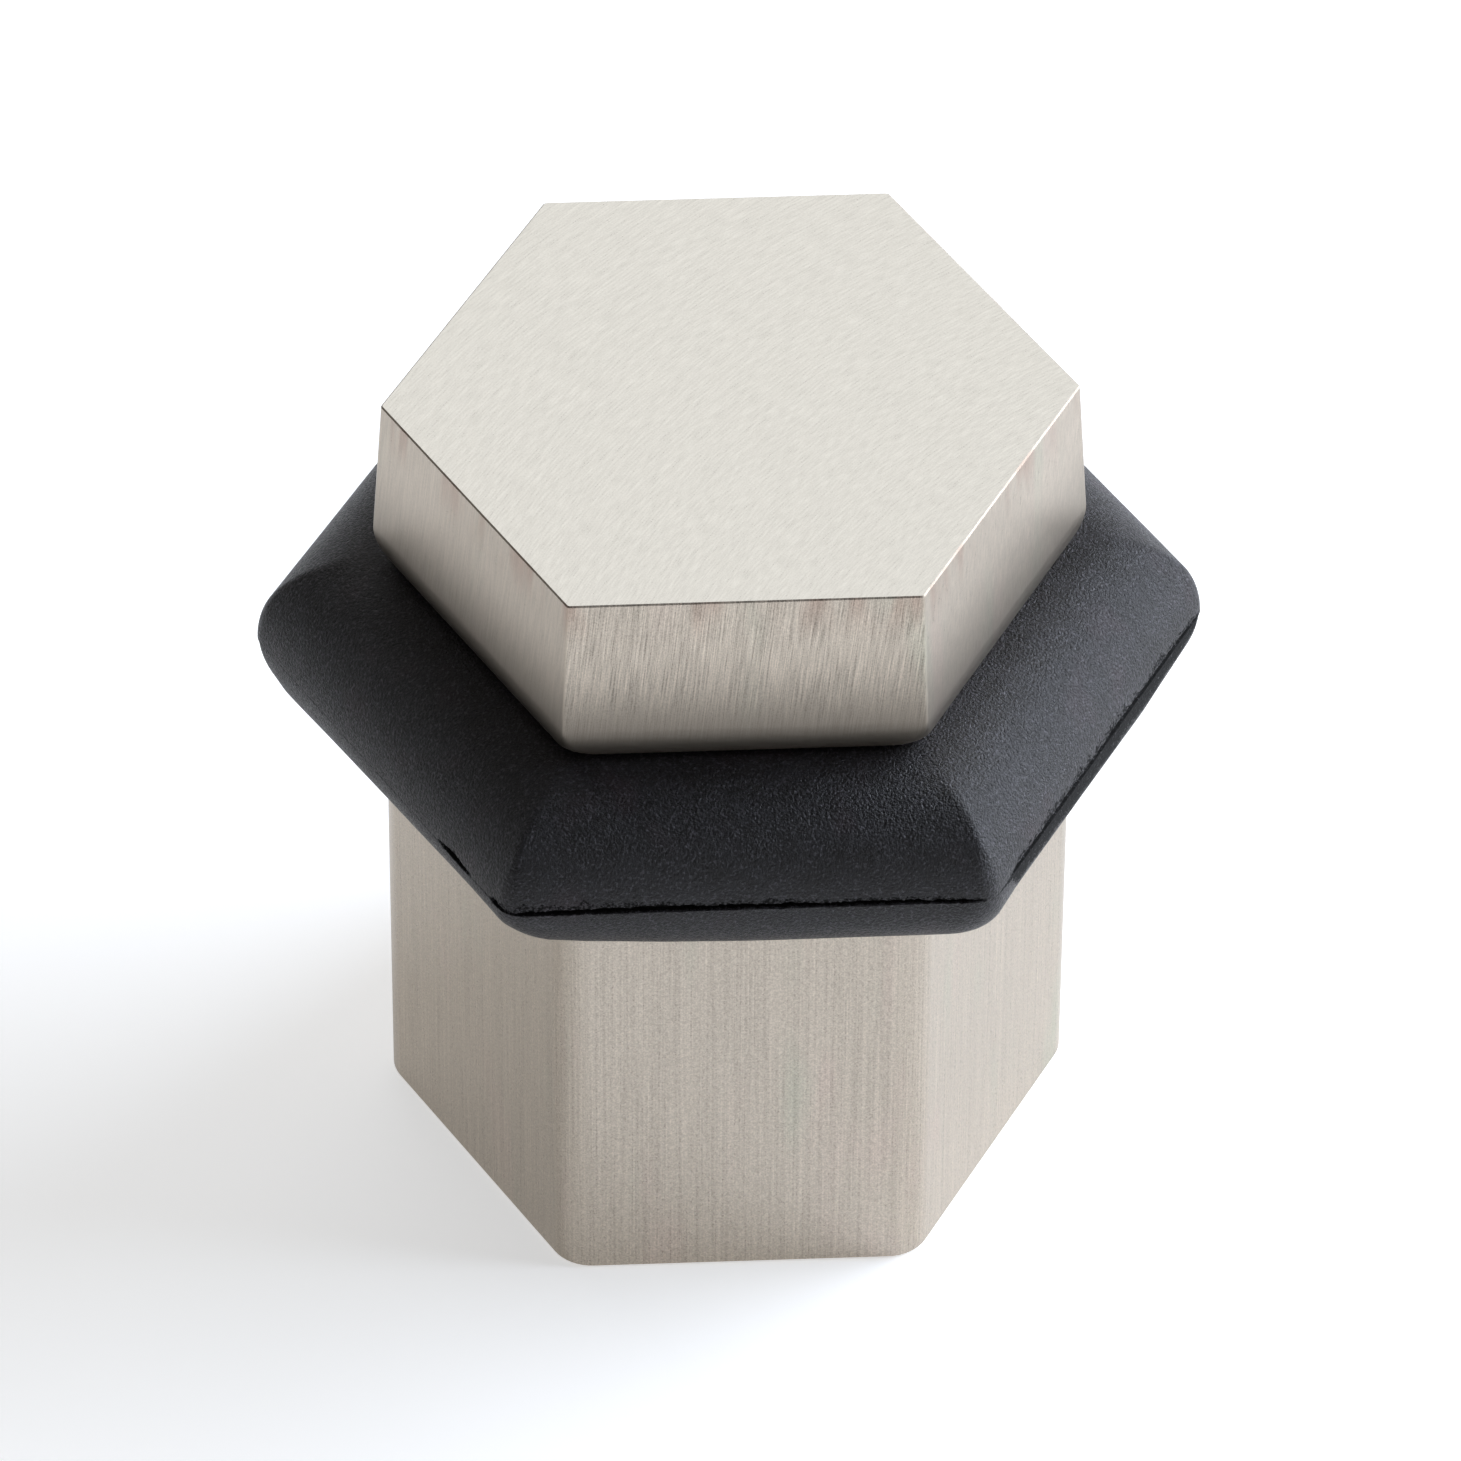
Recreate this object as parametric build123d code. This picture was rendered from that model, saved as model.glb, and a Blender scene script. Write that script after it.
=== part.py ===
from build123d import *
from math import cos, radians, sin, tan
import os

# A hexagonal floor door stop: a metal post and a metal cap with a rubber bumper ring clamped between
# them by one threaded stud. Sizes are in millimetres. The origin is the centre of the post's
# underside, +Z is up, and two of the flats face along -Y and +Y.

# The post, a length of hexagon bar
post_flats = 25.4
post_height = 22.5
post_corner_radius = 1.85
post_base_break = 0.15
post_top_break = 0.4

# The cap: drafted sides over a foot that turns in along a quarter ellipse, where the crisp upright
# edges soften
cap_base_flats = 25.84
cap_height = 8.6
cap_draft_deg = 3.2
cap_crisp_radius = 0.2
cap_soft_radius = 2.6
cap_foot_height = 2.0
cap_foot_turn_in = 1.2
cap_foot_sections = 7
cap_top_break = 0.06

# The bumper ring: a hexagonal ring whose edge is a nose, rounder above its parting line than below. Above
# the line its six creases are sharp and only their tips are rounded in plan, and below it a larger round
# runs down the whole crease. The post and the cap sit in the ring to the depths of its two seats.
bumper_reach = 4.5
bumper_upper_nose = 4.2
bumper_lower_nose = 3.3
bumper_tip_radius = 1.1
bumper_crease_radius = 1.4
post_seat_depth = 0.5
cap_seat_depth = 0.1

# The stud and the tapped holes: the post is tapped from both ends, and the land left between the two
# threads stops the stud
thread_diameter = 8.0
thread_play = 0.05
tap_drill_diameter = 6.8
land_thickness = 1.0
stud_length = 20.0
stud_in_cap = 4.1
stud_end_break = 0.5
socket_flats = 4.0
socket_depth = 4.0
mouth_sink = 0.6
drill_point_deg = 59.0

# Clearance of the stud in the bumper ring
bumper_bore_play = 0.3

# Levels, from the floor up
bumper_bottom = post_height - post_seat_depth
parting_level = bumper_bottom + bumper_lower_nose
bumper_top = parting_level + bumper_upper_nose
cap_base = bumper_top - cap_seat_depth
stud_top = cap_base + stud_in_cap
stud_bottom = stud_top - stud_length

tapped_radius = thread_diameter / 2 + thread_play
bumper_half = post_flats / 2 + bumper_reach


def hexagon(flats, corner_radius, level):
    """A hexagon with rounded corners, lying level, with a corner on +X."""
    outline = RegularPolygon(flats / 2, 6, major_radius=False)
    return Pos(0, 0, level) * fillet(outline.vertices(), corner_radius)


def turned(bottom_radius, bottom, top_radius, top):
    """A round on the stop's own axis, straight or tapered, between two levels."""
    height = top - bottom
    standing = (Align.CENTER, Align.CENTER, Align.MIN)
    if bottom_radius == top_radius:
        return Pos(0, 0, bottom) * Cylinder(bottom_radius, height, align=standing)
    return Pos(0, 0, bottom) * Cone(bottom_radius, top_radius, height, align=standing)


def tapped_hole(bottom, top):
    """A tapped hole's wall, taken at the thread's outer diameter."""
    return turned(tapped_radius, bottom, tapped_radius, top)


def mouth_below(level):
    """The countersink of a tapped hole that opens downward at this level."""
    return turned(tapped_radius + mouth_sink, level, tapped_radius, level + mouth_sink)


def mouth_above(level):
    """The countersink of a tapped hole that opens upward at this level."""
    return turned(tapped_radius, level - mouth_sink, tapped_radius + mouth_sink, level)


def post_blank():
    """The post before it is tapped."""
    body = extrude(hexagon(post_flats, post_corner_radius, 0), post_height)
    body = chamfer(body.faces().sort_by(Axis.Z)[0].edges(), post_base_break)
    return chamfer(body.faces().sort_by(Axis.Z)[-1].edges(), post_top_break)


def make_post():
    floor_hole = tapped_hole(0, stud_bottom - land_thickness) + mouth_below(0)
    stud_hole = tapped_hole(stud_bottom, post_height) + mouth_above(post_height)
    drill_radius = tap_drill_diameter / 2
    return post_blank() - floor_hole - stud_hole - turned(drill_radius, 0, drill_radius, post_height)


def cap_flats(rise):
    """Across flats of the cap's drafted sides, at a height above its base."""
    return cap_base_flats - 2 * rise * tan(radians(cap_draft_deg))


def cap_foot_section(turn_deg):
    """The cap's outline where its foot has gone this far round its quarter ellipse, 90 at the base."""
    turn = radians(turn_deg)
    rise = cap_foot_height * (1 - sin(turn))
    flats = cap_flats(rise) - 2 * cap_foot_turn_in * (1 - cos(turn))
    corner_radius = cap_crisp_radius + (cap_soft_radius - cap_crisp_radius) * sin(turn) ** 2
    return hexagon(flats, corner_radius, cap_base + rise)


def cap_blank():
    """The cap before it is tapped."""
    turns = [90 - 90 * step / (cap_foot_sections - 1) for step in range(cap_foot_sections)]
    foot = loft([cap_foot_section(turn) for turn in turns])
    top = hexagon(cap_flats(cap_height), cap_crisp_radius, cap_base + cap_height)
    sides = loft([cap_foot_section(0), top], ruled=True)
    return foot + chamfer(sides.faces().sort_by(Axis.Z)[-1].edges(), cap_top_break)


def make_cap():
    drill_depth = tapped_radius / tan(radians(drill_point_deg))
    drill_point = turned(tapped_radius, stud_top, 0, stud_top + drill_depth)
    return cap_blank() - tapped_hole(cap_base, stud_top) - drill_point - mouth_below(cap_base)


def bumper_mould_half(nose_radius, direction):
    """The rubber in one half of the mould, up (1) or down (-1) from the parting level, with no hole."""
    nose_centre = bumper_half - nose_radius
    level = parting_level + direction * nose_radius
    with BuildSketch(Plane.YZ) as section:
        with BuildLine():
            Line((0, parting_level), (bumper_half, parting_level))
            CenterArc((nose_centre, parting_level), nose_radius, 0, direction * 90)
            Line((nose_centre, level), (0, level))
            Line((0, level), (0, parting_level))
        make_face()
        mirror(about=Plane.YZ)
    bar = extrude(section.sketch, 2 * bumper_half, both=True)
    return bar & (Rot(0, 0, 60) * bar) & (Rot(0, 0, 120) * bar)


def make_bumper():
    """The ring as it is clamped, with the cap and the post pressed into its two faces."""
    tips = extrude(hexagon(2 * bumper_half, bumper_tip_radius, parting_level), bumper_upper_nose)
    upper_half = bumper_mould_half(bumper_upper_nose, 1) & tips
    lower_half = bumper_mould_half(bumper_lower_nose, -1)
    lower_creases = lower_half.edges().filter_by(GeomType.LINE, reverse=True)
    ring = upper_half + fillet(lower_creases, bumper_crease_radius)
    bore_radius = thread_diameter / 2 + bumper_bore_play
    return ring - cap_blank() - post_blank() - turned(bore_radius, post_height, bore_radius, cap_base)


def make_stud():
    body = turned(thread_diameter / 2, stud_bottom, thread_diameter / 2, stud_top)
    body = chamfer(body.edges().filter_by(GeomType.CIRCLE), stud_end_break)
    socket = RegularPolygon(socket_flats / 2, 6, major_radius=False)
    return body - Pos(0, 0, stud_bottom) * extrude(socket, socket_depth)


def main():
    os.makedirs("parts", exist_ok=True)
    for name, solid in {
        "post": make_post(),
        "bumper_ring": make_bumper(),
        "cap": make_cap(),
        "joining_stud": make_stud(),
    }.items():
        export_step(solid, f"parts/{name}.step")


main()
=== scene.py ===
import math

import bpy
import numpy as np
from mathutils import Matrix, Vector, noise as lattice


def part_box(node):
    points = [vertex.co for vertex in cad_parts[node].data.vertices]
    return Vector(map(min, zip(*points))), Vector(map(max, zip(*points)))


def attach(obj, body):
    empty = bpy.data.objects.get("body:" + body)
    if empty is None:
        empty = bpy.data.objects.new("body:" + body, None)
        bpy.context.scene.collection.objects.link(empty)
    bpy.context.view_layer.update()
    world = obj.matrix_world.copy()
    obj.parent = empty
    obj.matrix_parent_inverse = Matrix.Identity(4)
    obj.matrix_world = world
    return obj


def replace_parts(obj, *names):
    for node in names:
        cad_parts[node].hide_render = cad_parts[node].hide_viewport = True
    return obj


# A hexagonal floor door stop: brushed metal post and cap, and a rubber bumper ring between them.
# Sizes are in metres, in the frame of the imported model: the origin is the centre of the post's
# underside and +Z is up.

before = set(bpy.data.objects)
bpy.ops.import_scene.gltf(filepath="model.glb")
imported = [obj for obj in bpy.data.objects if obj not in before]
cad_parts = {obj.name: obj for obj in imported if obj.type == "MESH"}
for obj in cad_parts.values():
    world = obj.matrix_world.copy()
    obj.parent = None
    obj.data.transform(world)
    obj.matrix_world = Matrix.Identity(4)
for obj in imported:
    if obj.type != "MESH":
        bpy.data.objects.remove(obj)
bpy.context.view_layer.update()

MM = 0.001

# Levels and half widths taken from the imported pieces
RING_LOW, RING_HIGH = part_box("bumper_ring")
CAP_LOW, CAP_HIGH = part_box("cap")
STUD_LOW, STUD_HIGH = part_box("joining_stud")
POST_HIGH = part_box("post")[1]

# The bumper ring's section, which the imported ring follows
BUMPER_HALF = RING_HIGH.y
LOWER_NOSE = 3.3 * MM
PARTING = RING_LOW.z + LOWER_NOSE
UPPER_NOSE = RING_HIGH.z - PARTING
BORE_RADIUS = 4.3 * MM

# The rounds of the ring's six corners: its tips in plan, its creases above and below the parting line, its
# flat top, which the creases run into from the shoulder on, and its underside
TIP_RADIUS = 1.1 * MM
UPPER_CREASE_RADIUS = 0.35 * MM
LOWER_CREASE_RADIUS = 1.4 * MM
SHOULDER_RADIUS = 0.8 * MM
SHOULDER_FROM_DEG = 55
UNDERSIDE_RADIUS = 2.2 * MM

# Where the cap and the post sit in the ring
CAP_SEAT_HALF = 11.73 * MM
CAP_SEAT_RADIUS = 2.6 * MM
CAP_RIM_HALF = 12.11 * MM
CAP_RIM_RADIUS = 2.37 * MM
POST_HALF = POST_HIGH.y
POST_CORNER_RADIUS = 1.85 * MM
POST_TOP_BREAK = 0.4 * MM

# How finely the ring's skin is divided. The fine rises are the heights of the rows near the gap, above
# the parting line.
SECTOR_DEG = 60
SECTOR = math.radians(SECTOR_DEG)
FLAT_STEPS = 65
CORNER_STEPS = 24
SHOULDER_STEPS = 3
UPPER_STEP_DEG = 2.1
LOWER_STEP_DEG = 3.6
FINE_RISES = np.arange(0.76, -0.11, -0.04) * MM

# The gap where the rubber tore open just above the parting line, for each face of the ring by the direction
# it faces in degrees, from -90 up. A place along a face says how far it lies from the face's middle, how
# open the gap is there, from 0 to 1, how tall it is, how tall a darkened strip above its upper lip is, how
# far below the line the rubber is darkened, and how far the lower half swells out, or is drawn in. All but
# the second are in millimetres.
GAP_FACES = {
    -90: (
        (-9.9, 0.3, 0.10, 0.10, 0.00, -0.25),
        (-9.2, 0.9, 0.16, 0.30, 0.05, -0.05),
        (-7.5, 1.0, 0.22, 0.28, 0.05, 0.06),
        (-4.0, 1.0, 0.30, 0.20, 0.00, 0.18),
        (0.0, 1.0, 0.26, 0.15, 0.00, 0.25),
        (6.0, 1.0, 0.22, 0.13, 0.00, 0.24),
        (9.1, 0.9, 0.15, 0.08, 0.00, 0.23),
        (9.7, 0.0, 0.08, 0.00, 0.00, 0.22),
        (9.9, 0.0, 0.08, 0.00, 0.00, 0.22),
    ),
    -30: (
        (-9.9, 0.0, 0.08, 0.00, 0.00, 0.22),
        (-8.4, 0.1, 0.10, 0.00, 0.20, 0.16),
        (-7.6, 0.9, 0.22, 0.26, 1.90, 0.13),
        (-1.0, 0.8, 0.22, 0.32, 2.20, 0.15),
        (5.0, 0.9, 0.24, 0.30, 2.00, 0.20),
        (8.5, 0.5, 0.16, 0.20, 1.60, 0.05),
        (9.9, 0.2, 0.10, 0.00, 0.00, 0.00),
    ),
    210: (
        (-9.9, 0.0, 0.10, 0.00, 0.00, 0.00),
        (-8.5, 0.05, 0.10, 0.00, 0.00, 0.15),
        (-2.6, 0.05, 0.10, 0.00, 0.00, 0.00),
        (4.6, 0.05, 0.10, 0.00, 0.00, -0.20),
        (5.5, 1.0, 0.26, 0.05, 0.10, -0.24),
        (6.6, 0.9, 0.20, 0.05, 0.10, -0.27),
        (7.2, 0.05, 0.10, 0.00, 0.00, -0.28),
        (8.7, 0.1, 0.12, 0.00, 0.00, -0.27),
        (9.1, 0.9, 0.22, 0.08, 0.10, -0.26),
        (9.9, 0.3, 0.10, 0.10, 0.00, -0.25),
    ),
}
GAP_ELSEWHERE = (
    (-9.9, 0.0, 0.10, 0.00, 0.00, 0.00),
    (-5.0, 0.6, 0.16, 0.08, 0.10, 0.00),
    (1.0, 0.3, 0.12, 0.00, 0.00, 0.00),
    (6.0, 0.7, 0.18, 0.08, 0.10, 0.00),
    (9.9, 0.0, 0.10, 0.00, 0.00, 0.00),
)

# The units of a place's five measures
GAP_UNITS = np.array((1, MM, MM, MM, MM))

# How deep the gap is, how far its lower lip lies above the line, how ragged its lips are and how near
# each other they may come
GAP_DEPTH = 0.32 * MM
GAP_RISE = 0.05 * MM
LOWER_LIP_RAGGED = 0.09 * MM
UPPER_LIP_RAGGED = 1.8 * LOWER_LIP_RAGGED
LEAST_GAP = 0.04 * MM

# Over what height the lips, the darkened strip above and the darkened strip below fade. The strip below
# fades over a share of its own height, but over no less than the last value.
LOWER_LIP_FADE = 0.05 * MM
UPPER_LIP_FADE = 0.08 * MM
DARK_ABOVE_FADE = 0.12 * MM
DARK_BELOW_FADE_SHARE = 0.7
DARK_BELOW_LEAST_FADE = 0.12 * MM

# How strongly the darkened strips above and below are marked for the paint, where the painted shade in
# the open gap is 1
DARK_ABOVE_MARK = 0.36
DARK_BELOW_MARK = 0.56

# How far up or down the skin may face where it has the gap, where it is marked, and where it is uneven
GAP_LIMIT_DEG = 30
MARK_LIMIT_DEG = 40
UNEVEN_LIMIT_DEG = 89

# How far down the skin faces where the swelling is full, where it begins to fade and where it ends
SWELL_FULL_DEG = 40
SWELL_FADE_DEG = 50
SWELL_END_DEG = 80

# The unevenness of the gap and the skin. Each layer is its waves per millimetre, its seed and its weight.
# The last value is how far the skin is moved.
LOWER_LIP_WAVES = ((2.6, 3.1, 0.5), (6.0, 9.4, 0.5))
UPPER_LIP_WAVES = ((1.7, 5.7, 0.4), (5.0, 1.2, 0.6))
OPEN_WAVES = ((1.1, 7.7, 0.5),)
DARK_ABOVE_WAVES = ((3.1, 4.4, 1.2),)
DARK_BELOW_WAVES = ((0.8, 6.1, 0.35),)
SKIN_WAVES = ((0.35, 2.0, 1.0),)
SKIN_WAVE = 0.02 * MM

# The screw threads: an M8 thread on the stud, and the one cut in the post for the floor bolt. Their crests
# and roots are flat for a share of the pitch, and a pitch has this many rows. The floor bolt's thread runs
# out at its two ends, and has a thin sleeve that reaches into the hole's wall.
THREAD_PITCH = 1.25 * MM
THREAD_DEPTH = 0.677 * MM
CREST_SHARE = 0.125
ROOT_SHARE = 0.25
THREAD_COLUMNS = 96
THREAD_ROWS = 20
STUD_RADIUS = STUD_HIGH.x
STUD_BREAK = 0.5 * MM
SOCKET_HALF = 2.0 * MM
SOCKET_DEPTH = 4.0 * MM
HOLE_RADIUS = 4.05 * MM
HOLE_SLEEVE = 0.01 * MM
HOLE_FROM = 0.62 * MM
HOLE_TO = 12.48 * MM
HOLE_FADE = 0.9 * MM

# Edges that turn by more than this stay sharp
SHARP_DEG = 50


def hexagon_row(half, corner_radius):
    """A hexagon with rounded corners and a corner on +X: its points and their outward normals."""
    reach = (half - corner_radius) * math.tan(SECTOR / 2)
    corner_centre = np.array(((half - corner_radius) / math.cos(SECTOR / 2), 0.0))
    rising = np.arange(FLAT_STEPS) / FLAT_STEPS
    turn = (np.arange(CORNER_STEPS) / CORNER_STEPS - 0.5) * SECTOR
    angle = np.concatenate((np.full(FLAT_STEPS, -SECTOR / 2), turn, np.full(FLAT_STEPS, SECTOR / 2)))
    along = np.concatenate((reach * rising, np.zeros(CORNER_STEPS), reach * (rising - 1)))
    normals = np.stack((np.cos(angle), np.sin(angle)), axis=1)
    tangents = np.stack((-np.sin(angle), np.cos(angle)), axis=1)
    points = half * normals + along[:, None] * tangents
    corner = slice(FLAT_STEPS, FLAT_STEPS + CORNER_STEPS)
    points[corner] = corner_centre + corner_radius * normals[corner]
    turns = [np.array(((math.cos(a), math.sin(a)), (-math.sin(a), math.cos(a))))
             for a in SECTOR * np.arange(6)]
    return np.concatenate([points @ t for t in turns]), np.concatenate([normals @ t for t in turns])


def smooth_step(value):
    """0 below 0, 1 above 1, and a smooth rise between."""
    share = np.clip(value, 0, 1)
    return share * share * (3 - 2 * share)


def uneven(places, layers):
    """Uneven values that lie about zero at points of the plan, the same in every run."""
    total = np.zeros(len(places))
    for per_mm, seed, weight in layers:
        scale = per_mm / MM
        total += weight * np.array([lattice.noise(Vector((x * scale, y * scale, seed))) for x, y in places])
    return total


def ring_rows():
    """The ring's section from the cap's seat out and down to the post's: half widths, corner radii,
    levels and how steeply the skin faces up or down."""
    flat_half = BUMPER_HALF - UPPER_NOSE
    rows = [(CAP_SEAT_HALF, CAP_SEAT_RADIUS, CAP_LOW.z, 90.0)]
    for step in range(SHOULDER_STEPS):
        share = step / SHOULDER_STEPS
        rows.append((CAP_RIM_HALF + (flat_half - CAP_RIM_HALF) * share,
                     CAP_RIM_RADIUS + (SHOULDER_RADIUS - CAP_RIM_RADIUS) * share, RING_HIGH.z, 90.0))
    fine_from = math.degrees(math.asin(FINE_RISES[0] / UPPER_NOSE))
    upper = np.linspace(90, fine_from, round((90 - fine_from) / UPPER_STEP_DEG), endpoint=False)
    fine = [math.degrees(math.asin(rise / (UPPER_NOSE if rise > 0 else LOWER_NOSE))) for rise in FINE_RISES]
    lower = np.linspace(fine[-1], -90, round((90 + fine[-1]) / LOWER_STEP_DEG))[1:]
    for face_up in (*upper, *fine, *lower):
        tilt = math.radians(face_up)
        nose = UPPER_NOSE if face_up > 0 else LOWER_NOSE
        drawn_in = nose * (1 - math.cos(tilt))
        if face_up > 0:
            shoulder = float(smooth_step((face_up - SHOULDER_FROM_DEG) / (90 - SHOULDER_FROM_DEG)))
            crease = UPPER_CREASE_RADIUS + (SHOULDER_RADIUS - UPPER_CREASE_RADIUS) * shoulder
            corner = max(TIP_RADIUS - drawn_in, crease)
        else:
            corner = LOWER_CREASE_RADIUS + (UNDERSIDE_RADIUS - LOWER_CREASE_RADIUS) * -math.sin(tilt)
        rows.append((BUMPER_HALF - drawn_in, corner, PARTING + nose * math.sin(tilt), face_up))
    rows.append((POST_HALF, POST_CORNER_RADIUS, RING_LOW.z, -90.0))
    rows.append((POST_HALF, POST_CORNER_RADIUS, POST_HIGH.z - POST_TOP_BREAK, 0.0))
    rows.append((POST_HALF - POST_TOP_BREAK, POST_CORNER_RADIUS - POST_TOP_BREAK, POST_HIGH.z, -90.0))
    return rows


def gap_along(points):
    """What the gap is like at each column of the skin: how open, its lower and upper lip, and how far the
    skin is darkened above it and below it, and swollen."""
    middle = SECTOR_DEG / 2
    azimuth = np.degrees(np.arctan2(points[:, 1], points[:, 0]))
    face = (np.round((azimuth - middle) / SECTOR_DEG) * SECTOR_DEG + middle).astype(int)
    places = np.empty((len(GAP_UNITS), len(points)))
    for direction in np.unique(face):
        here = face == direction
        lean = math.radians(direction)
        along = points[here] @ np.array((-math.sin(lean), math.cos(lean))) / MM
        marks = np.array(GAP_FACES.get((direction + 90) % 360 - 90, GAP_ELSEWHERE))
        places[:, here] = [np.interp(along, marks[:, 0], measure) for measure in marks[:, 1:].T]
    openness, height, dark_above, dark_below, swollen = places * GAP_UNITS[:, None]
    lip = GAP_RISE + LOWER_LIP_RAGGED * uneven(points, LOWER_LIP_WAVES) * openness
    top = GAP_RISE + height + UPPER_LIP_RAGGED * uneven(points, UPPER_LIP_WAVES) * openness
    top = np.maximum(lip + LEAST_GAP, top)
    openness = openness * np.clip(1 + uneven(points, OPEN_WAVES), 0, 1)
    dark_above = dark_above * (1 + uneven(points, DARK_ABOVE_WAVES))
    dark_below = dark_below * (1 + uneven(points, DARK_BELOW_WAVES))
    return openness, lip, top, dark_above, dark_below, swollen


def row_gap_and_marks(gap, rise, face_up):
    """What one row of the skin has of the gap: how far it lies inside the gap and how strongly it is
    marked for the paint, both from 0 to 1, and how far it swells out. The mark is painted shade inside the
    gap and the darker strips above and below it. Rise is its height above the parting line."""
    openness, lip, top, dark_above, dark_below, swollen = gap
    above_lip = smooth_step((rise - lip) / LOWER_LIP_FADE)
    inside = above_lip * (1 - smooth_step((rise - top) / UPPER_LIP_FADE + 0.5)) * openness
    above_band = above_lip * (1 - smooth_step((rise - top - dark_above) / DARK_ABOVE_FADE)) * (dark_above > 0)
    below_fade = np.maximum(DARK_BELOW_FADE_SHARE * dark_below, DARK_BELOW_LEAST_FADE)
    below_band = (1 - above_lip) * smooth_step((rise + dark_below) / below_fade) * (dark_below > 0)
    mark = np.maximum(inside, np.maximum(DARK_ABOVE_MARK * above_band, DARK_BELOW_MARK * below_band))
    faded = smooth_step((-face_up - SWELL_FADE_DEG) / (SWELL_END_DEG - SWELL_FADE_DEG))
    swell = smooth_step(-face_up / SWELL_FULL_DEG) * (1 - faded) * swollen
    return inside * (abs(face_up) < GAP_LIMIT_DEG), mark * (abs(face_up) < MARK_LIMIT_DEG), swell


def skin_object(name, mesh_rows, finish, capped=False):
    """A mesh from rows of points that all have as many columns. It is closed by joining the last row to
    the first, or by a cap on each."""
    count, columns = len(mesh_rows), len(mesh_rows[0])
    points = np.concatenate(mesh_rows)
    ring = np.arange(columns)
    beside = (ring + 1) % columns
    faces = []
    for row in range(count - 1 if capped else count):
        here, after = row * columns, (row + 1) % count * columns
        quads = np.stack((here + ring, after + ring, after + beside, here + beside), axis=1)
        faces.extend(quads.tolist())
    if capped:
        faces.append(ring.tolist())
        faces.append((ring[::-1] + (count - 1) * columns).tolist())
    mesh = bpy.data.meshes.new(name)
    mesh.from_pydata(points.tolist(), [], faces)
    mesh.shade_smooth()
    mesh.set_sharp_from_angle(angle=math.radians(SHARP_DEG))
    made = bpy.data.objects.new(name, mesh)
    bpy.context.scene.collection.objects.link(made)
    mesh.materials.append(finish)
    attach(made, "root")
    return made


def make_ring(finish):
    """The bumper ring's skin with the gap where it tore open, which an attribute also marks for the paint:
    painted shade inside the gap, and the darker strips above and below it.
    """
    plan = hexagon_row(BUMPER_HALF, TIP_RADIUS)[0]
    gap = gap_along(plan)
    mesh_rows, gap_shade_and_marks = [], []
    for half, corner, level, face_up in ring_rows():
        points, normals = hexagon_row(half, corner)
        tilt = math.radians(face_up)
        sunk, mark = np.zeros(len(points)), np.zeros(len(points))
        if abs(face_up) < UNEVEN_LIMIT_DEG:
            inside, mark, swell = row_gap_and_marks(gap, level - PARTING, face_up)
            wave = SKIN_WAVE * (1 + uneven(points + level, SKIN_WAVES)) / 2
            sunk = GAP_DEPTH * inside + wave - swell
        flat = points - (sunk * math.cos(tilt))[:, None] * normals
        mesh_rows.append(np.column_stack((flat, level - sunk * math.sin(tilt))))
        gap_shade_and_marks.append(mark)
    azimuth = np.arctan2(plan[:, 1], plan[:, 0])
    bore = BORE_RADIUS * np.stack((np.cos(azimuth), np.sin(azimuth)), axis=1)
    for level in (POST_HIGH.z, CAP_LOW.z):
        mesh_rows.append(np.column_stack((bore, np.full(len(bore), level))))
        gap_shade_and_marks.append(np.zeros(len(bore)))
    made = skin_object("ring_skin", mesh_rows, finish)
    attribute = made.data.attributes.new("gap_shade_and_marks", "FLOAT", "POINT")
    attribute.data.foreach_set("value", np.concatenate(gap_shade_and_marks))
    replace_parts(made, "bumper_ring")


def round_row(radius, level):
    """A row of the thread's columns at one level. The radius is one number or one for each column."""
    azimuth = 2 * math.pi * np.arange(THREAD_COLUMNS) / THREAD_COLUMNS
    radius = np.broadcast_to(radius, azimuth.shape)
    across, along = radius * np.cos(azimuth), radius * np.sin(azimuth)
    return np.column_stack((across, along, np.full(THREAD_COLUMNS, level)))


def socket_row(level):
    """A row of the thread's columns on the hexagon of the stud's socket."""
    azimuth = SECTOR * 6 * np.arange(THREAD_COLUMNS) / THREAD_COLUMNS
    return round_row(SOCKET_HALF / np.cos(azimuth % SECTOR - SECTOR / 2), level)


def thread_depth(level):
    """How far a right-hand thread is cut below its crest, round one level."""
    turn = (level / THREAD_PITCH - np.arange(THREAD_COLUMNS) / THREAD_COLUMNS) % 1
    cut = (np.abs(2 * turn - 1) - CREST_SHARE) / (1 - CREST_SHARE - ROOT_SHARE)
    return THREAD_DEPTH * np.clip(cut, 0, 1)


def thread_levels(low, high):
    """The levels of a thread's rows, from the lowest up."""
    return np.linspace(low, high, round((high - low) / THREAD_PITCH * THREAD_ROWS) + 1)


def make_stud_thread(finish):
    """The stud with its thread, broken ends and socket."""
    rows = []
    for level in thread_levels(STUD_LOW.z, STUD_HIGH.z)[::-1]:
        to_end = min(level - STUD_LOW.z, STUD_HIGH.z - level)
        radius = np.minimum(STUD_RADIUS - thread_depth(level), STUD_RADIUS - STUD_BREAK + to_end)
        rows.append(round_row(radius, level))
    rows.append(socket_row(STUD_LOW.z))
    rows.append(socket_row(STUD_LOW.z + SOCKET_DEPTH))
    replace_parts(skin_object("stud_thread", rows, finish, capped=True), "joining_stud")


def make_floor_thread(finish):
    """The thread in the post's lower hole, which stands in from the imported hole's wall."""
    rows = []
    for level in thread_levels(HOLE_FROM, HOLE_TO):
        full = smooth_step((level - HOLE_FROM) / HOLE_FADE) * smooth_step((HOLE_TO - level) / HOLE_FADE)
        ridge = THREAD_DEPTH - thread_depth(level)
        rows.append(round_row(HOLE_RADIUS - HOLE_SLEEVE - full * ridge, level))
    rows.append(round_row(HOLE_RADIUS + HOLE_SLEEVE, HOLE_TO))
    rows.append(round_row(HOLE_RADIUS + HOLE_SLEEVE, HOLE_FROM))
    skin_object("floor_thread", rows, finish)


def material(name):
    """An empty node material and its Principled shader."""
    made = bpy.data.materials.new(name)
    made.use_nodes = True
    return made, made.node_tree.nodes["Principled BSDF"]


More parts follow.
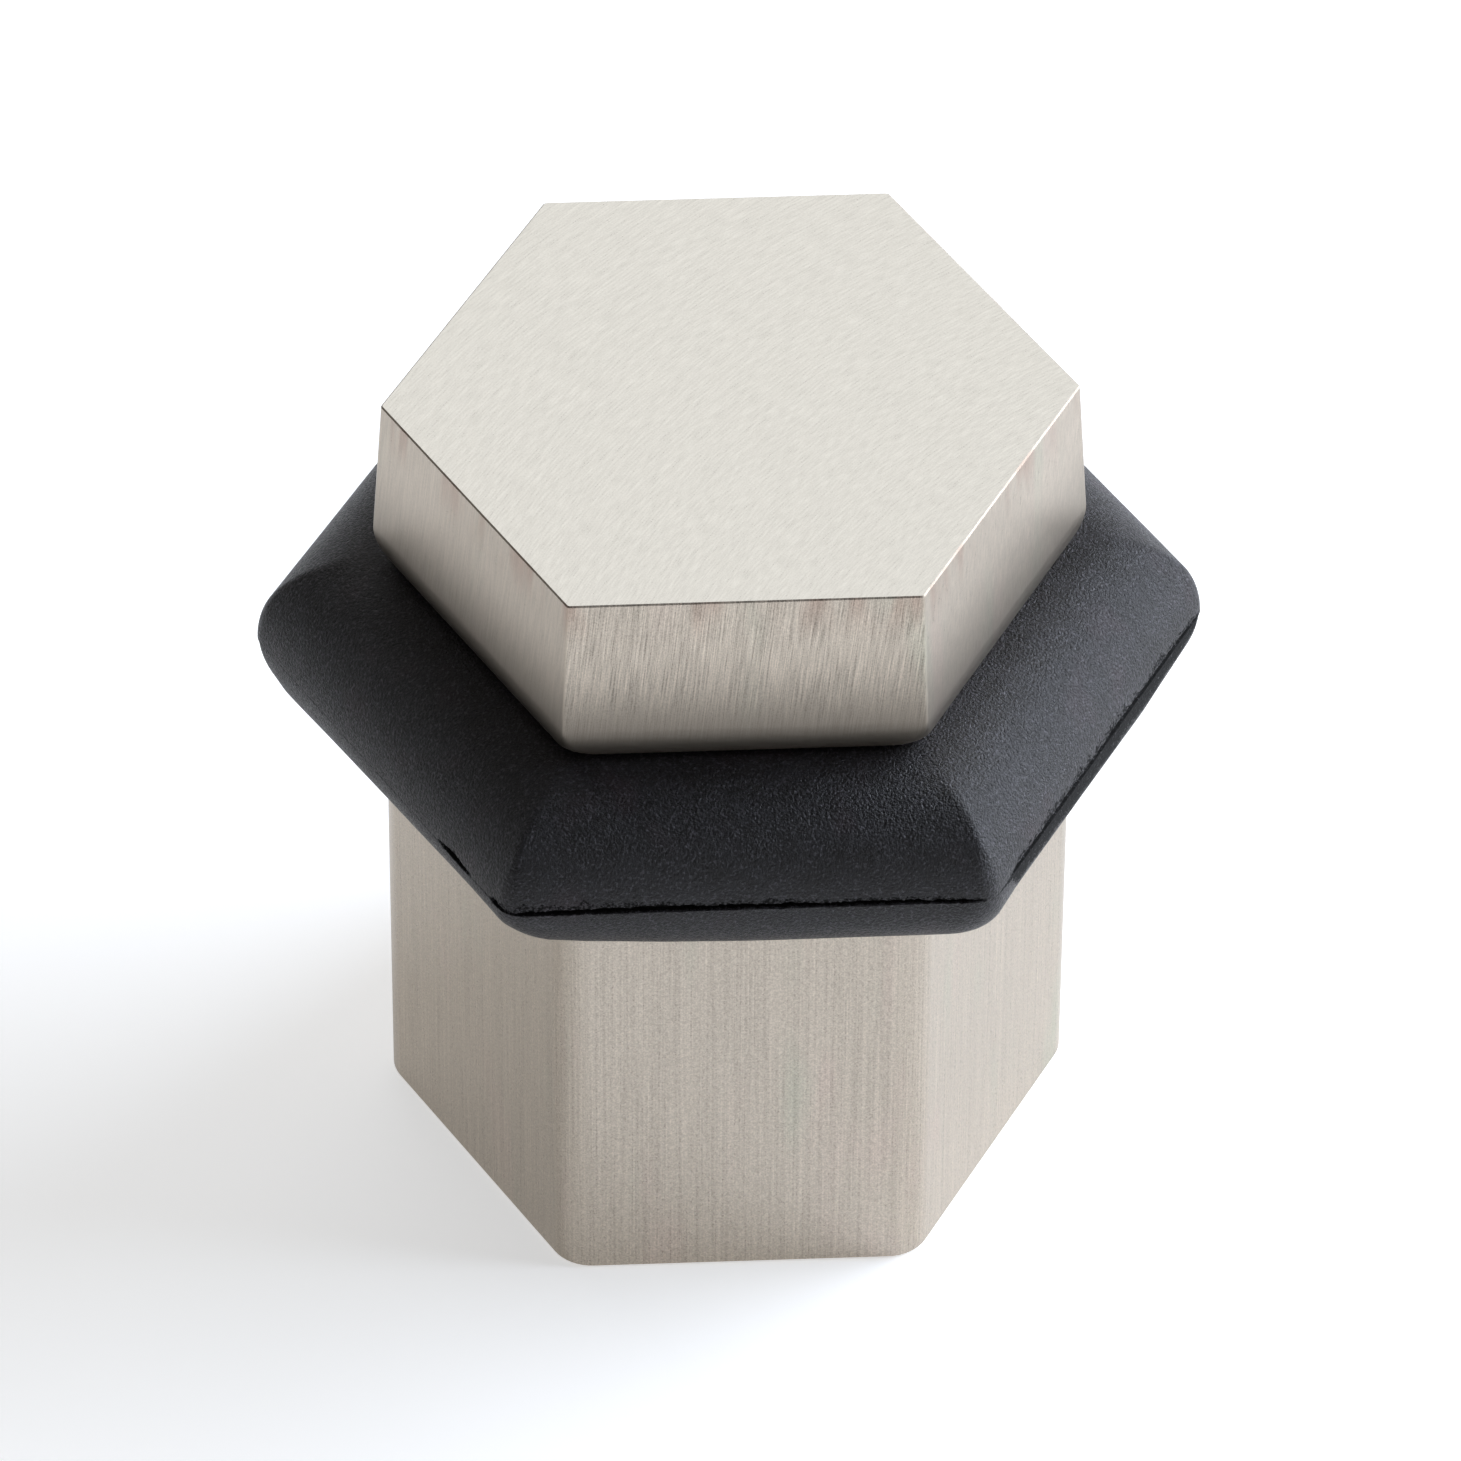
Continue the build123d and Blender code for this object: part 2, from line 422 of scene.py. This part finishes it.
def node(tree, kind, links=None, **settings):
    """Adds a node. A value in links is a socket to connect or a number to set."""
    made = tree.nodes.new("ShaderNode" + kind)
    for key, value in settings.items():
        setattr(made, key, value)
    for key, value in (links or {}).items():
        if isinstance(value, bpy.types.NodeSocket):
            tree.links.new(value, made.inputs[key])
        else:
            made.inputs[key].default_value = value
    return made


def maths(tree, operation, first, second=0.0, clamp=False):
    """The result of one Math node."""
    made = node(tree, "Math", {0: first, 1: second}, operation=operation, use_clamp=clamp)
    return made.outputs[0]


def ramp(tree, value, low, high):
    """Rises smoothly from 0 to 1 as a value goes from low to high, and falls if low is above high."""
    ends = {"Value": value, "From Min": low, "From Max": high}
    return node(tree, "MapRange", ends, interpolation_type="SMOOTHSTEP").outputs["Result"]


def ranged(tree, value, ends, results):
    """A value moved evenly from one range into another, and held at its ends."""
    links = {"Value": value, "From Min": ends[0], "From Max": ends[1]}
    links.update({"To Min": results[0], "To Max": results[1]})
    return node(tree, "MapRange", links).outputs["Result"]


def blend(tree, share, first, second):
    """One colour mixed into another."""
    made = node(tree, "Mix", {0: share, 6: first, 7: second}, data_type="RGBA", clamp_factor=True)
    return made.outputs[2]


def scaled(tree, colour, factor):
    """A colour made lighter or darker."""
    return node(tree, "VectorMath", {0: colour, "Scale": factor}, operation="SCALE").outputs["Vector"]


def noise(tree, vector, scale, detail, roughness=0.5):
    """Noise from 0 to 1."""
    links = {"Vector": vector, "Scale": scale, "Detail": detail, "Roughness": roughness}
    return node(tree, "TexNoise", links).outputs["Fac"]


def stretched(tree, vector, scales, turn=(0.0, 0.0, 0.0)):
    """A vector scaled along its three axes and then turned about them."""
    return node(tree, "Mapping", {"Vector": vector, "Scale": scales, "Rotation": turn}).outputs["Vector"]


def rgb(red, green, blue):
    """A colour given in the 0 to 255 steps of a screen."""
    shares = [step / 255 for step in (red, green, blue)]
    linear = [share / 12.92 if share <= 0.0404 else ((share + 0.055) / 1.055) ** 2.4 for share in shares]
    return (*linear, 1.0)


def bump(tree, shader, height, strength, distance):
    """Raises a shader's surface by a height."""
    made = node(tree, "Bump", {"Height": height, "Strength": strength, "Distance": distance})
    tree.links.new(made.outputs["Normal"], shader.inputs["Normal"])


# Brushed nickel: the cap's top is brushed along wide arcs, and every side is brushed upright. Each layer
# of strokes is a stroke's width and length in millimetres, and its weight.
TOP_LAYERS = ((0.09, 0.8, 0.40), (0.30, 3.0, 0.12), (0.07, 0.08, 0.30))
CAP_LAYERS = ((0.045, 2.4, 1.4), (0.08, 4.0, 0.5), (0.06, 0.08, 0.8))
POST_LAYERS = ((0.07, 8.0, 0.45), (0.20, 18.0, 0.14), (0.07, 0.08, 0.80))
TOP_ARC_RADIUS = 50 * MM
TOP_GRAIN_DEG = 47.6
# The sides' colours are darker than the top's: painted shade on the upright faces of the same nickel.
NICKEL_TOP = rgb(226, 223, 215)
NICKEL_SIDE_SHADED = rgb(197, 186, 172)
NICKEL_PINK = rgb(202, 186, 174)
NICKEL_GREEN = rgb(191, 187, 171)
NICKEL_BROWN = rgb(176, 152, 138)

# The tints of the sides: how fine each noise is along X, Y and Z, per metre, and over what range of it the
# tint comes in
BAND_SCALES = (600.0, 600.0, 60.0)
BAND_RANGE = (0.35, 0.65)
GREY_SCALES = (350.0, 350.0, 120.0)
GREY_RANGE = (0.2, 0.5)
BROWN_SCALES = (900.0, 900.0, 150.0)
BROWN_RANGE = (0.45, 0.65)

# How rough the nickel is over the range of its strokes, how much rougher on the top's broken edge, and the
# strength and the height of its relief
GRAIN_RANGE = (-0.2, 0.2)
NICKEL_ROUGHNESS = (0.25, 0.37)
EDGE_ROUGHNESS = 0.35
NICKEL_BUMP = (0.3, 0.02 * MM)

# How far the surface faces up where it begins to be the top and where it is the top, the same for where
# the top's broken edge comes in and goes out, and how far it faces left or right on the faces at the sides
TOP_FACING = (0.85, 0.97)
EDGE_FACING_IN = (0.2, 0.4)
EDGE_FACING_OUT = (0.95, 0.85)
ASIDE_FACING = (0.3, 0.6)

# The strokes on the cap's sides lean, are flattened front to back, so that they don't break up where a
# face leans back, and are weaker on the four faces at the left and right
CAP_SLANT_DEG = -6.0
CAP_SQUEEZE = 0.3
CAP_WEIGHT_ASIDE = 0.3

# The brown marks below the cap's top edge: how strong they are, and from which level up
STAIN_SHARE = 0.6
STAIN_FROM = 35.6 * MM

# The cap's foot is darker: painted shade where the dark ring below is mirrored in it, which lifts again at a
# thin paler rim at the very bottom, a painted reflection. Its strokes run out and it is rougher. Each pair
# of levels is where the look starts and where it ends, and the last share is how much of the roughness is
# left on the four faces at the left and right.
FOOT_PAINTED_SHADE = 0.60
FOOT_SHADE_LEVELS = (30.3 * MM, 36.0 * MM)
FOOT_LIT_RIM_LEVELS = (30.5 * MM, 29.7 * MM)
FOOT_CALM_LEVELS = (30.0 * MM, 32.6 * MM)
FOOT_ROUGHNESS = 0.22
FOOT_ROUGHNESS_ASIDE = 0.4


def top_strokes(tree, place):
    """Coordinates that run across and along the arcs in which the cap's top was brushed."""
    lean = math.radians(TOP_GRAIN_DEG - 90)
    centre = (TOP_ARC_RADIUS * math.cos(lean), TOP_ARC_RADIUS * math.sin(lean), 0)
    offset = node(tree, "VectorMath", {0: place, 1: centre}, operation="SUBTRACT").outputs["Vector"]
    split = node(tree, "SeparateXYZ", {0: offset}).outputs
    across = maths(tree, "SQRT", maths(tree, "ADD", maths(tree, "MULTIPLY", split["X"], split["X"]),
                                       maths(tree, "MULTIPLY", split["Y"], split["Y"])))
    along = maths(tree, "MULTIPLY", maths(tree, "ARCTAN2", split["Y"], split["X"]), TOP_ARC_RADIUS)
    return node(tree, "CombineXYZ", {0: across, 1: 0.0, 2: along}).outputs["Vector"]


def strokes(tree, vector, layers):
    """Brush strokes along a vector's Z, as a value that lies about zero."""
    total = 0.0
    for width, length, weight in layers:
        scales = (1 / (width * MM), 1 / (width * MM), 1 / (length * MM))
        layer = maths(tree, "SUBTRACT", noise(tree, stretched(tree, vector, scales), 1.0, 1.0), 0.5)
        total = maths(tree, "ADD", total, maths(tree, "MULTIPLY", layer, weight))
    return total


def between(tree, first, last, share):
    """A number that goes from the first to the last as a share goes from 0 to 1."""
    return maths(tree, "ADD", first, maths(tree, "MULTIPLY", share, last - first))


def side_colours(tree, place):
    """The colours of a brushed side, darker than the top's as painted shade."""
    bands = noise(tree, stretched(tree, place, BAND_SCALES), 1.0, 2.0)
    grey = noise(tree, stretched(tree, place, GREY_SCALES), 1.0, 1.0)
    colour = blend(tree, ramp(tree, bands, *BAND_RANGE), NICKEL_PINK, NICKEL_GREEN)
    return blend(tree, ramp(tree, grey, *GREY_RANGE), colour, NICKEL_SIDE_SHADED)


def cap_strokes(tree, place, level, aside):
    """The strokes on the cap's sides."""
    slant = (0.0, math.radians(CAP_SLANT_DEG), 0.0)
    side = strokes(tree, stretched(tree, place, (1.0, CAP_SQUEEZE, 1.0), slant), CAP_LAYERS)
    side = maths(tree, "MULTIPLY", side, between(tree, 1.0, CAP_WEIGHT_ASIDE, aside))
    return maths(tree, "MULTIPLY", side, ramp(tree, level, *FOOT_CALM_LEVELS))


def cap_colours(tree, place, level):
    """The colours of the cap's sides, with the brown marks and the painted shade of its foot, which lifts at
    a paler rim.
    """
    brown = ramp(tree, noise(tree, stretched(tree, place, BROWN_SCALES), 1.0, 1.0), *BROWN_RANGE)
    under_edge = ramp(tree, level, STAIN_FROM, CAP_HIGH.z)
    brown = maths(tree, "MULTIPLY", maths(tree, "MULTIPLY", brown, under_edge), STAIN_SHARE)
    colour = blend(tree, brown, side_colours(tree, place), NICKEL_BROWN)
    above_foot, rim = ramp(tree, level, *FOOT_SHADE_LEVELS), ramp(tree, level, *FOOT_LIT_RIM_LEVELS)
    return scaled(tree, colour, between(tree, FOOT_PAINTED_SHADE, 1.0, maths(tree, "MAXIMUM", above_foot, rim)))


def foot_roughness(tree, level, aside):
    """How much rougher the cap is towards its foot."""
    low = maths(tree, "SUBTRACT", 1.0, ramp(tree, level, *FOOT_SHADE_LEVELS))
    low = maths(tree, "MULTIPLY", low, between(tree, 1.0, FOOT_ROUGHNESS_ASIDE, aside))
    return maths(tree, "MULTIPLY", low, FOOT_ROUGHNESS)


def nickel(name, on_cap=False):
    """Brushed nickel for the post or the cap."""
    made, shader = material(name)
    tree = made.node_tree
    spots = node(tree, "TexCoord").outputs
    place = spots["Object"]
    facing = node(tree, "SeparateXYZ", {0: spots["Normal"]}).outputs
    on_top = ramp(tree, facing["Z"], *TOP_FACING)
    edge_in, edge_out = ramp(tree, facing["Z"], *EDGE_FACING_IN), ramp(tree, facing["Z"], *EDGE_FACING_OUT)
    on_edge = maths(tree, "MULTIPLY", edge_in, edge_out)
    aside = ramp(tree, maths(tree, "ABSOLUTE", facing["X"]), *ASIDE_FACING)
    level = node(tree, "SeparateXYZ", {0: place}).outputs["Z"]

    side = cap_strokes(tree, place, level, aside) if on_cap else strokes(tree, place, POST_LAYERS)
    top = strokes(tree, top_strokes(tree, place), TOP_LAYERS)
    grain = node(tree, "Mix", {"Factor": on_top, "A": side, "B": top}).outputs["Result"]

    side_colour = cap_colours(tree, place, level) if on_cap else side_colours(tree, place)
    # The sides' darker colours are painted shade, and the top takes its own lighter colour
    colour = scaled(tree, blend(tree, on_top, side_colour, NICKEL_TOP), maths(tree, "ADD", 1.0, grain))
    tree.links.new(colour, shader.inputs["Base Color"])

    worn = ranged(tree, grain, GRAIN_RANGE, NICKEL_ROUGHNESS)
    if on_cap:
        worn = maths(tree, "ADD", worn, foot_roughness(tree, level, aside))
    worn = maths(tree, "ADD", worn, maths(tree, "MULTIPLY", on_edge, EDGE_ROUGHNESS))
    tree.links.new(worn, shader.inputs["Roughness"])
    shader.inputs["Metallic"].default_value = 1.0
    bump(tree, shader, grain, *NICKEL_BUMP)
    return made


# The rubber: black with a faint red tint, pale specks and a fine grit, and blacker and dull in and beside
# the gap: painted shade inside the gap, and darker strips above and below it. Each noise is its scale per
# metre, its detail and its roughness, and each range is where in it the look comes in.
RUBBER_DARK = rgb(22, 19, 20)
RUBBER_LIGHT = rgb(34, 32, 35)
RUBBER_RED = rgb(42, 33, 37)
RUBBER_SPECK = rgb(170, 165, 176)
RUBBER_GAP_SHADE_AND_MARKS = rgb(7, 5, 4)
LIGHT_NOISE = (900.0, 3.0, 0.6)
LIGHT_RANGE = (0.35, 0.65)
RED_NOISE = (380.0, 2.0, 0.5)
RED_RANGE = (0.55, 0.75)
SPECK_NOISE = (7500.0, 1.0, 0.5)
SPECK_RANGE = (0.52, 0.76)
SPECK_SHARE = 0.14
GRIT_NOISE = (8500.0, 2.0, 0.7)
GRIT_RANGE = (0.3, 0.7)
RUBBER_ROUGHNESS = (0.26, 0.60)
RUBBER_SHINE = 0.45
RUBBER_BUMP = (0.6, 0.2 * MM)

# The blackened rubber, painted shade in the gap and the darker strips beside it, begins where the mark
# from the gap, made ragged by a noise, comes into its range, and never where there is hardly any mark
BLACKENING_NOISE = (8000.0, 2.0, 0.7)
BLACKENING_WEIGHT = 1.4
BLACKENING_RANGE = (0.28, 0.44)
BLACKENING_ONSET = (0.02, 0.2)


def rubber():
    made, shader = material("bumper_rubber")
    tree = made.node_tree
    place = node(tree, "TexCoord").outputs["Object"]
    gap_shade_and_marks = node(tree, "Attribute", attribute_name="gap_shade_and_marks").outputs["Fac"]
    light = ramp(tree, noise(tree, place, *LIGHT_NOISE), *LIGHT_RANGE)
    red = ramp(tree, noise(tree, place, *RED_NOISE), *RED_RANGE)
    specks = ramp(tree, noise(tree, place, *SPECK_NOISE), *SPECK_RANGE)
    colour = blend(tree, red, blend(tree, light, RUBBER_DARK, RUBBER_LIGHT), RUBBER_RED)
    colour = blend(tree, maths(tree, "MULTIPLY", specks, SPECK_SHARE), colour, RUBBER_SPECK)

    ragged = maths(tree, "SUBTRACT", noise(tree, place, *BLACKENING_NOISE), 0.5)
    ragged = maths(tree, "MULTIPLY", ragged, BLACKENING_WEIGHT)
    shade_and_marks_here = ramp(tree, maths(tree, "ADD", gap_shade_and_marks, ragged), *BLACKENING_RANGE)
    shade_and_marks_here = maths(tree, "MULTIPLY", shade_and_marks_here, ramp(tree, gap_shade_and_marks, *BLACKENING_ONSET))
    # Painted shade inside the gap, and the darker strips above and below it, in near black
    tree.links.new(blend(tree, shade_and_marks_here, colour, RUBBER_GAP_SHADE_AND_MARKS), shader.inputs["Base Color"])

    grit = noise(tree, place, *GRIT_NOISE)
    worn = ranged(tree, grit, GRIT_RANGE, RUBBER_ROUGHNESS)
    tree.links.new(maths(tree, "ADD", worn, shade_and_marks_here, clamp=True), shader.inputs["Roughness"])
    shader.inputs["Specular IOR Level"].default_value = RUBBER_SHINE
    bump(tree, shader, grit, *RUBBER_BUMP)
    return made


# The stud's plain steel, which is rougher where it is lighter
STEEL_DARK = rgb(120, 120, 122)
STEEL_LIGHT = rgb(165, 165, 168)
STEEL_NOISE = (4000.0, 3.0, 0.6)
STEEL_ROUGHNESS = (0.3, 0.5)
STEEL_BUMP = (0.2, 0.01 * MM)


def stud_steel():
    made, shader = material("stud_steel")
    tree = made.node_tree
    place = node(tree, "TexCoord").outputs["Object"]
    grain = noise(tree, place, *STEEL_NOISE)
    tree.links.new(blend(tree, grain, STEEL_DARK, STEEL_LIGHT), shader.inputs["Base Color"])
    tree.links.new(ranged(tree, grain, (0.0, 1.0), STEEL_ROUGHNESS), shader.inputs["Roughness"])
    shader.inputs["Metallic"].default_value = 1.0
    bump(tree, shader, grain, *STEEL_BUMP)
    return made


def paint(piece, finish):
    """Gives a piece one finish all over."""
    piece.data.materials.clear()
    piece.data.materials.append(finish)


# The plain studio: a pale floor and two large soft lamps, one behind and above, one at the right. The
# floor shines a little by itself where it is mirrored, and more where the camera sees it. The lamps and
# the camera aim at the middle of the stop.
AIM = Vector((0, 0, CAP_HIGH.z / 2))
WHITE = (1.0, 1.0, 1.0, 1.0)
FLOOR_COLOUR = (0.86, 0.86, 0.86, 1.0)
FLOOR_SIZE = 12.0
FLOOR_LIFT = 0.34
FLOOR_VIEW_LIFT = 0.55
WORLD_LEVEL = 0.09
LAMPS = {
    "back_lamp": {
        "towards": (0.0, 0.78, 0.70), "distance": 0.7, "size": (0.9, 0.6), "level": 0.94,
        "colour": (1.0, 1.0, 1.0)},
    "right_lamp": {
        "towards": (0.90, 0.25, 0.42), "distance": 0.6, "size": (0.60, 0.45), "level": 7.0,
        "colour": (0.92, 1.0, 1.13)},
}


def make_floor():
    bpy.ops.mesh.primitive_plane_add(size=FLOOR_SIZE, location=(0, 0, 0))
    floor = bpy.context.object
    floor.name = "floor"
    made, shader = material("floor_paint")
    tree = made.node_tree
    shader.inputs["Base Color"].default_value = FLOOR_COLOUR
    shader.inputs["Roughness"].default_value = 1.0
    shader.inputs["Specular IOR Level"].default_value = 0.0
    ray = node(tree, "LightPath").outputs
    mirrored = maths(tree, "MAXIMUM", ray["Is Glossy Ray"], ray["Is Transmission Ray"])
    mirrored = maths(tree, "MULTIPLY", mirrored, FLOOR_LIFT)
    viewed = maths(tree, "MULTIPLY", ray["Is Camera Ray"], FLOOR_VIEW_LIFT)
    shader.inputs["Emission Color"].default_value = WHITE
    tree.links.new(maths(tree, "ADD", mirrored, viewed), shader.inputs["Emission Strength"])
    floor.data.materials.append(made)


def make_lamp(name, towards, distance, size, level, colour):
    """A rectangular soft lamp that faces the object. Its level is how bright it looks, 1 being white."""
    data = bpy.data.lights.new(name, "AREA")
    data.shape = "RECTANGLE"
    data.size, data.size_y = size
    data.energy = level * math.pi * size[0] * size[1]
    data.color = colour
    lamp = bpy.data.objects.new(name, data)
    bpy.context.scene.collection.objects.link(lamp)
    direction = Vector(towards).normalized()
    lamp.location = AIM + direction * distance
    lamp.rotation_euler = direction.to_track_quat("Z", "Y").to_euler()


def make_world():
    world = bpy.data.worlds.new("studio")
    world.use_nodes = True
    world.node_tree.nodes["Background"].inputs["Color"].default_value = WHITE
    world.node_tree.nodes["Background"].inputs["Strength"].default_value = WORLD_LEVEL
    bpy.context.scene.world = world


# The photograph's view, fitted to the stop's edges. The shift is how far the camera stands to its right
# and up.
VIEW_AZIMUTH_DEG = -3.045
VIEW_ELEVATION_DEG = 43.442
VIEW_ROLL_DEG = 0.369
VIEW_DISTANCE = 497.2 * MM
VIEW_SHIFT = (0.075 * MM, 0.079 * MM)
FOCAL_PIXELS = 11815.0
PHOTO_PIXELS = 1461
SENSOR_MM = 36.0
CLIP_FROM = 0.01
CLIP_TO = 50.0


def make_camera():
    azimuth, elevation = math.radians(VIEW_AZIMUTH_DEG), math.radians(VIEW_ELEVATION_DEG)
    roll = math.radians(VIEW_ROLL_DEG)
    level = math.cos(elevation)
    back = Vector((math.sin(azimuth) * level, -math.cos(azimuth) * level, math.sin(elevation)))
    flat_right = Vector((math.cos(azimuth), math.sin(azimuth), 0))
    flat_up = back.cross(flat_right)
    right = math.cos(roll) * flat_right + math.sin(roll) * flat_up
    up = math.cos(roll) * flat_up - math.sin(roll) * flat_right
    eye = AIM + back * VIEW_DISTANCE + right * VIEW_SHIFT[0] + up * VIEW_SHIFT[1]
    data = bpy.data.cameras.new("camera")
    data.sensor_width = SENSOR_MM
    data.lens = FOCAL_PIXELS / PHOTO_PIXELS * SENSOR_MM
    data.clip_start, data.clip_end = CLIP_FROM, CLIP_TO
    camera = bpy.data.objects.new("camera", data)
    bpy.context.scene.collection.objects.link(camera)
    turn = Matrix((right, up, back)).transposed()
    camera.matrix_world = Matrix.Translation(eye) @ turn.to_4x4()
    bpy.context.scene.camera = camera


post_finish = nickel("nickel_post")
paint(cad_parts["cap"], nickel("nickel_cap", on_cap=True))
paint(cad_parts["post"], post_finish)
make_ring(rubber())
make_stud_thread(stud_steel())
make_floor_thread(post_finish)
make_floor()
for lamp_name, lamp_facts in LAMPS.items():
    make_lamp(lamp_name, **lamp_facts)
make_world()
make_camera()
bpy.context.scene.view_settings.view_transform = "Standard"
